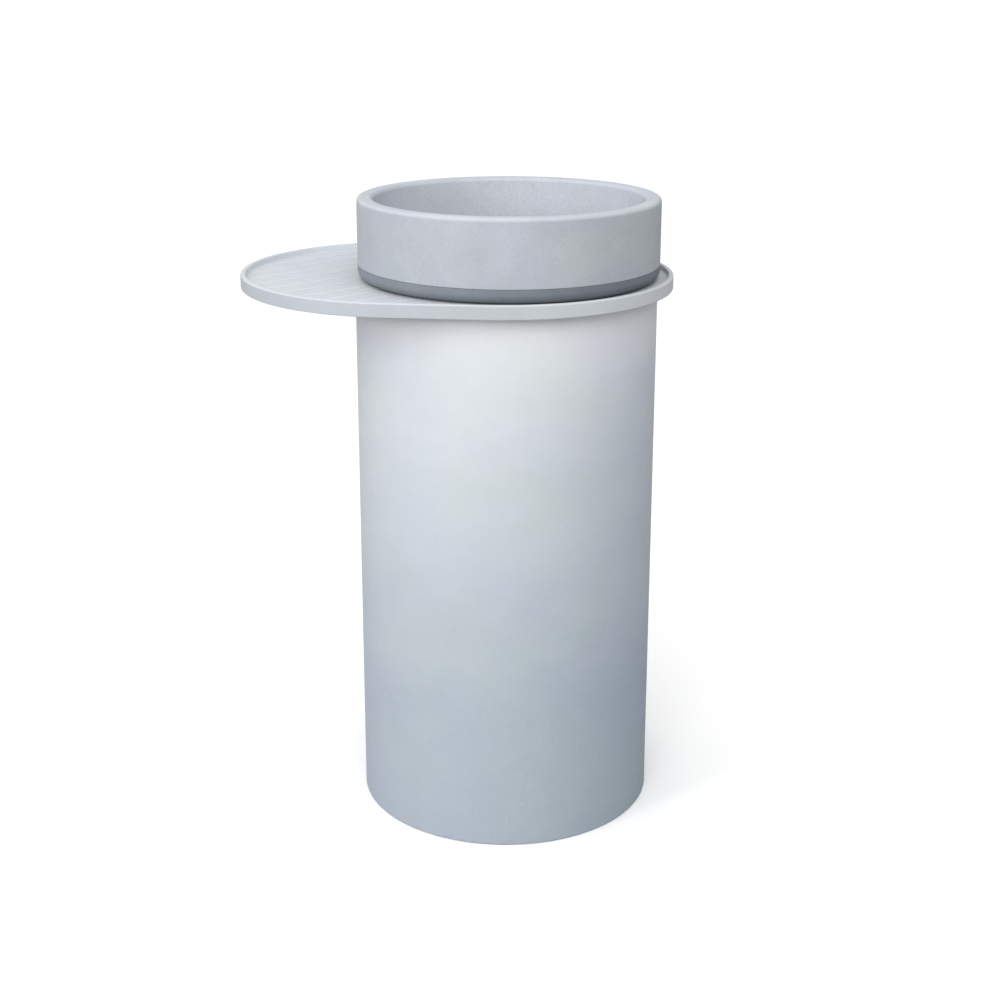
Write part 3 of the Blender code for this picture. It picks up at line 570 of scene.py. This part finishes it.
def make_pedestal():
    low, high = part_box("pedestal_shell")
    radius = (high.x - low.x) / 2
    piece = link("pedestal", pedestal_mesh(high.z), at=(PEDESTAL_X, 0.0, 0.0))
    round_edges(piece, PEDESTAL_EDGE)
    holes = [drill(f"deck_hole_{n}", spot.x, spot.y, STUD_HOLE_R, high.z - 0.05, high.z + 0.01)
             for n, spot in enumerate(STUDS)]
    reach = radius + 0.0012
    chip_at = (PEDESTAL_X + reach * math.cos(CHIP_ANGLE), reach * math.sin(CHIP_ANGLE), -0.0002)
    cut(piece, holes + [chip_tool(0.0052, chip_at)])
    light = (0.535, 0.551, 0.558)
    dark = (0.235, 0.281, 0.330)
    material = concrete("pedestal_concrete", light, dark, pedestal_tint_and_painted_light, grain=0.028,
                        patch=0.30, pores=True, worn=pedestal_wear)
    return finish_piece(piece, material, "root", "pedestal_concrete", "pedestal_shell")


# ---------------------------------------------------------------- tray
def tray_shape():
    low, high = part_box("tray")
    radius = (high.y - low.y) / 2
    span = (high.x - low.x) - 2 * radius
    return low.z, high.z, radius, span, (low.x + high.x) / 2


def obround(radius, span, steps=96):
    points = []
    for centre, start in ((span / 2, -90.0), (-span / 2, 90.0)):
        for i in range(steps + 1):
            angle = math.radians(start + 180.0 * i / steps)
            points.append((centre + radius * math.cos(angle), radius * math.sin(angle)))
    return points


def tray_plate():
    """The plate with its lip, from a section of (distance out from the tray's edge, z)."""
    low, high, radius, span, _ = tray_shape()
    floor = high - LIP_HEIGHT
    b, t, k = TRAY_BOTTOM_ROUND, TRAY_TOP_ROUND, LIP_INNER_ROUND
    section = (arc(-b, low + b, b, -90, 0, 4)
               + arc(-t, high - t, t, 0, 90, 6)
               + arc(-(LIP_WIDTH - k), high - k, k, 90, 180, 4)
               + arc(-(LIP_WIDTH + k), floor + k, k, 0, -90, 4)
               + [(-(LIP_WIDTH + k + 0.002), floor)])
    bm = bmesh.new()
    rings = [[bm.verts.new((x, y, z)) for x, y in obround(radius + out, span)]
             for out, z in section]
    for a, b in zip(rings, rings[1:]):
        strip(bm, a, b)
    bm.faces.new(rings[0])
    bm.faces.new(rings[-1])
    return to_mesh("side_tray", bm)


def reach_in_obround(origin, heading, radius, span):
    """How far a ray from inside an obround runs before it leaves it."""
    best = 0.0
    for side in (1.0, -1.0):
        if abs(heading.y) > 1e-9:
            far = (side * radius - origin.y) / heading.y
            if far > 0 and abs(origin.x + far * heading.x) <= span / 2:
                best = max(best, far)
        offset = origin - Vector((side * span / 2, 0.0))
        along = offset.dot(heading)
        root = along ** 2 - offset.length_squared + radius ** 2
        if root > 0:
            far = -along + math.sqrt(root)
            if far > 0 and side * (origin.x + far * heading.x) >= span / 2:
                best = max(best, far)
    return best


def rib_spans():
    """Start and length of each rib on the open part of the tray, in the tray's own frame."""
    _, _, radius, span, centre_x = tray_shape()
    low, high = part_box("basin_bowl")
    keep_out = (high.x - low.x) / 2 + RIB_CLEARANCE
    inside = radius - LIP_WIDTH - 0.0012 - RIB_CLEARANCE
    along = Vector((math.cos(RIB_ANGLE), math.sin(RIB_ANGLE)))
    across = Vector((-along.y, along.x))
    basin = Vector((WASTE_X - centre_x, 0.0))
    left_end = Vector((-span / 2, 0.0))
    spans = []
    for n in range(-7, 8):
        centre = left_end + across * (n * RIB_PITCH + RIB_PHASE)
        if (centre - left_end).length >= inside:
            continue
        start = centre - along * reach_in_obround(centre, -along, inside, span)
        length = (start - centre).length + reach_in_obround(centre, along, inside, span)
        forward = (basin - start).dot(along)
        sideways = (basin - start).dot(across)
        if abs(sideways) < keep_out and forward > 0:
            length = min(length, forward - math.sqrt(keep_out ** 2 - sideways ** 2))
        if length > 3 * RIB_WIDTH:
            spans.append((start, length))
    return spans


def add_rib(bm, start, length, floor):
    """A half-round bar with rounded ends, rooted a little below the tray's floor."""
    half = RIB_WIDTH / 2
    stations = [(half - half * math.cos(math.radians(a)), math.sin(math.radians(a)))
                for a in (12, 35, 60, 90)]
    stations += [(length - s, k) for s, k in reversed(stations)]
    turn = Matrix.Rotation(RIB_ANGLE, 4, "Z")
    rings = []
    for along, k in stations:
        section = [(half * k * math.cos(a), RIB_HEIGHT * k * math.sin(a))
                   for a in (math.pi * i / 10 for i in range(11))]
        section += [(-half * k, -RIB_ROOT), (half * k, -RIB_ROOT)]
        ring = []
        for y, z in section:
            point = turn @ Vector((along, y, 0.0))
            ring.append(bm.verts.new((start.x + point.x, start.y + point.y, floor + z)))
        rings.append(ring)
    for a, b in zip(rings, rings[1:]):
        strip(bm, a, b)
    bm.faces.new(rings[0])
    bm.faces.new(rings[-1])


def make_tray():
    low, high, _, _, centre_x = tray_shape()
    tray = link("side_tray", tray_plate(), at=(centre_x, 0.0, 0.0))
    bm = bmesh.new()
    for start, length in rib_spans():
        add_rib(bm, start, length, high - LIP_HEIGHT)
    ribs = link("ribs", to_mesh("ribs", bm), at=(centre_x, 0.0, 0.0))
    cut(tray, [ribs], "UNION")
    holes = [drill("waste_hole", WASTE_X, 0.0, TRAY_HOLE_R, low - 0.01, high + 0.01, SMALL_ROUND)]
    holes += [drill(f"tray_hole_{n}", spot.x, spot.y, STUD_HOLE_R, low - 0.01, high + 0.01)
              for n, spot in enumerate(STUDS)]
    cut(tray, holes)
    material = concrete("tray_concrete", (0.600, 0.620, 0.637), (0.330, 0.352, 0.372),
                        tray_tint_and_painted_light, grain=0.022, patch=0.22)
    return finish_piece(tray, material, "root", "tray_concrete", "tray")


# ---------------------------------------------------------------- basin
def make_basin():
    low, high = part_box("basin_base")
    radius = (high.x - low.x) / 2
    dish = low.z + BASE_DISH_FLOOR
    profile = [(OUTLET_HOLE_R, low.z)]
    profile += arc(radius - BASE_ROUND, low.z + BASE_ROUND, BASE_ROUND, -90, 0, 14)
    profile += [(radius, high.z - 0.0004), (radius - 0.0004, high.z), (BASE_DISH_R, high.z),
                (BASE_DISH_R, dish), (OUTLET_HOLE_R, dish)]
    base = link("basin_dark_base", to_mesh("basin_dark_base", turned(profile, LARGE_ROUND)),
                at=(WASTE_X, 0.0, 0.0))
    insert_low, insert_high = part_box("stud_insert_1")
    insert_r = (insert_high.x - insert_low.x) / 2 + GAP
    cut(base, [drill(f"insert_hole_{n}", spot.x, spot.y, insert_r, low.z - 0.01,
                     insert_high.z + GAP) for n, spot in enumerate(STUDS)])
    dark = concrete("base_concrete", (0.152, 0.172, 0.192), (0.113, 0.132, 0.150),
                    base_tint_and_painted_shade, grain=0.11, patch=0.30)
    finish_piece(base, dark, "root", "base_concrete", "basin_base")

    bowl_low, bowl_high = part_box("basin_bowl")
    rim = bowl_high.z
    inner = radius - BASIN_WALL
    wall_foot = inner - BOWL_DRAFT
    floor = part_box("waste_body")[1].z - 0.0001
    floor_edge = floor + BOWL_FALL
    profile = [
        (OUTLET_HOLE_R, bowl_low.z),
        (BASE_DISH_R - GAP, bowl_low.z),
        (BASE_DISH_R - GAP, high.z + GAP),
        (radius - 0.0004, high.z + GAP),
        (radius, high.z + GAP + 0.0004),
    ]
    profile += arc(radius - RIM_ROUND, rim - RIM_ROUND, RIM_ROUND, 0, 90, 14)
    profile += arc(inner + RIM_ROUND, rim - RIM_ROUND, RIM_ROUND, 90, 180, 14)
    profile += arc(wall_foot - BOWL_CORNER, floor_edge + BOWL_CORNER, BOWL_CORNER, 0, -90, 16)
    profile += [
        (FLANGE_RECESS_R + 0.0015, floor + 0.0001),
        (FLANGE_RECESS_R, floor - 0.0010),
        (FLANGE_RECESS_R, floor - FLANGE_RECESS),
        (OUTLET_HOLE_R, floor - FLANGE_RECESS),
    ]
    bowl = link("basin_bowl_cast", to_mesh("basin_bowl_cast", turned(profile, LARGE_ROUND)),
                at=(WASTE_X, 0.0, 0.0))
    pale = concrete("bowl_concrete", (0.385, 0.398, 0.425), (0.255, 0.275, 0.305),
                    bowl_tint_and_painted_light, grain=0.060, patch=0.38, worn=bowl_wear)
    finish_piece(bowl, pale, "root", "bowl_concrete", "basin_bowl")


# ---------------------------------------------------------------- plug spring
def make_spring(material):
    """The plug's return spring, wound as a round wire."""
    low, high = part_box("plug_spring")
    across, along = 16, 48
    coil_r = (high.x - low.x) / 2 - SPRING_WIRE_R
    rise = high.z - low.z - 2 * SPRING_WIRE_R
    count = SPRING_TURNS * along
    bm = bmesh.new()
    rings = []
    for i in range(count + 1):
        angle = math.tau * i / along
        out = Vector((math.cos(angle), math.sin(angle), 0.0))
        centre = out * coil_r + Vector((0.0, 0.0, rise * i / count))
        rings.append([bm.verts.new(centre + SPRING_WIRE_R * (out * math.cos(a)
                                                             + Vector((0, 0, math.sin(a)))))
                      for a in (math.tau * k / across for k in range(across))])
    for a, b in zip(rings, rings[1:]):
        strip(bm, a, b)
    bm.faces.new(rings[0])
    bm.faces.new(rings[-1])
    spring = link("return_spring", to_mesh("return_spring", bm),
                  at=(WASTE_X, 0.0, low.z + SPRING_WIRE_R))
    finish_piece(spring, material, "root", "spring_steel", "plug_spring", sharp=60.0)
    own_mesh(spring)


# ---------------------------------------------------------------- the CAD nodes that stay
def shared_materials():
    return {
        "silicone": plastic("silicone", (0.55, 0.57, 0.58), 0.45),
        "rubber": plastic("rubber", (0.028, 0.028, 0.030), 0.60, 0.0001),
        "chrome": metal("chrome", (0.80, 0.80, 0.81), 0.07),
        "brass": metal("brass", (0.72, 0.54, 0.25), 0.28, 0.00002),
        "zinc_steel": metal("zinc_steel", (0.58, 0.59, 0.60), 0.36, 0.00003),
        "spring_steel": metal("spring_steel", (0.45, 0.45, 0.46), 0.30, 0.00001),
        "white_plastic": plastic("white_plastic", (0.83, 0.83, 0.81), 0.40),
        "black_plastic": plastic("black_plastic", (0.040, 0.040, 0.045), 0.48),
    }


def dress_nodes(materials):
    """Give every CAD node that stays in view the material of its slot."""
    for entry in frame["record"]["subparts"]:
        material = materials.get(entry["material_slot"])
        if material is None:
            continue
        mesh = frame["nodes"][entry["node"]].data
        mesh.materials.clear()
        mesh.materials.append(material)


# ---------------------------------------------------------------- camera, floor and light
LENS = 58.65
SENSOR = 36.0
SHIFT_Y = -0.0852
CAMERA_DISTANCE = 2.1370
CAMERA_HEIGHT = 1.1375
CAMERA_ROUND = math.radians(5.76)
CAMERA_YAW = 0.0039
CAMERA_PITCH = 0.27285
CAMERA_ROLL = 0.0016
SKY_MEAN = 0.90
SKY_SLOPE = (-0.24, -0.38, 0.75)


def make_camera():
    data = bpy.data.cameras.new("camera")
    data.sensor_width = SENSOR
    data.lens = LENS
    data.shift_y = SHIFT_Y
    data.clip_end = 200.0
    camera = bpy.data.objects.new("camera", data)
    bpy.context.scene.collection.objects.link(camera)
    place = (PEDESTAL_X + CAMERA_DISTANCE * math.sin(CAMERA_ROUND),
             -CAMERA_DISTANCE * math.cos(CAMERA_ROUND), CAMERA_HEIGHT)
    camera.matrix_world = (Matrix.Translation(place)
                           @ Matrix.Rotation(CAMERA_ROUND + CAMERA_YAW, 4, "Z")
                           @ Matrix.Rotation(math.pi / 2 - CAMERA_PITCH, 4, "X")
                           @ Matrix.Rotation(CAMERA_ROLL, 4, "Z"))
    bpy.context.scene.camera = camera


def make_floor():
    bm = bmesh.new()
    bmesh.ops.create_circle(bm, cap_ends=True, segments=64, radius=60.0)
    floor = link("floor", to_mesh("floor", bm))
    s = Shader("floor", 0.9)
    seen = s.add("ShaderNodeLightPath").outputs["Is Camera Ray"]
    pale = s.mix(s.noise(0.8, 2.0), (0.75, 0.75, 0.75), (0.77, 0.77, 0.77))
    s.colour(s.mix(seen, (0.36, 0.36, 0.36), pale))
    floor.data.materials.append(s.material)


def area_light(name, azimuth, elevation, distance, size, power):
    """A square softbox aimed at the upper part of the object; azimuth 0 is the front."""
    data = bpy.data.lights.new(name, "AREA")
    data.shape = "SQUARE"
    data.size = size
    data.energy = power
    light = bpy.data.objects.new(name, data)
    bpy.context.scene.collection.objects.link(light)
    a, e = math.radians(azimuth), math.radians(elevation)
    target = Vector((PEDESTAL_X, 0.0, 0.50))
    away = Vector((math.sin(a) * math.cos(e), -math.cos(a) * math.cos(e), math.sin(e)))
    light.location = target + away * distance
    light.rotation_euler = away.to_track_quat("Z", "Y").to_euler()


def make_light():
    """A bright overhead sky, stronger from the front and the left, and one soft key light."""
    world = bpy.data.worlds.new("studio")
    bpy.context.scene.world = world
    world.use_nodes = True
    tree = world.node_tree

    def node(kind, **settings):
        made = tree.nodes.new(kind)
        for key, value in settings.items():
            setattr(made, key, value)
        return made

    slope = node("ShaderNodeVectorMath", operation="DOT_PRODUCT")
    slope.inputs[1].default_value = SKY_SLOPE
    sky = node("ShaderNodeMath", operation="ADD")
    sky.inputs[1].default_value = SKY_MEAN
    seen = node("ShaderNodeMix", data_type="FLOAT")
    seen.inputs["B"].default_value = 1.1
    tree.links.new(node("ShaderNodeTexCoord").outputs["Generated"], slope.inputs[0])
    tree.links.new(slope.outputs["Value"], sky.inputs[0])
    tree.links.new(sky.outputs["Value"], seen.inputs["A"])
    tree.links.new(node("ShaderNodeLightPath").outputs["Is Camera Ray"], seen.inputs["Factor"])
    background = tree.nodes["Background"]
    background.inputs["Color"].default_value = (1.0, 1.0, 1.0, 1.0)
    tree.links.new(seen.outputs["Result"], background.inputs["Strength"])
    area_light("key", 0.0, 32.0, 2.6, 1.2, 24.0)
    area_light("side", -42.0, 16.0, 2.6, 0.35, 15.0)


# ---------------------------------------------------------------- assembly
bpy.context.scene.view_settings.view_transform = "Standard"
make_camera()
make_floor()
make_light()
materials = shared_materials()
dress_nodes(materials)
make_pedestal()
make_tray()
make_basin()
make_spring(materials["spring_steel"])
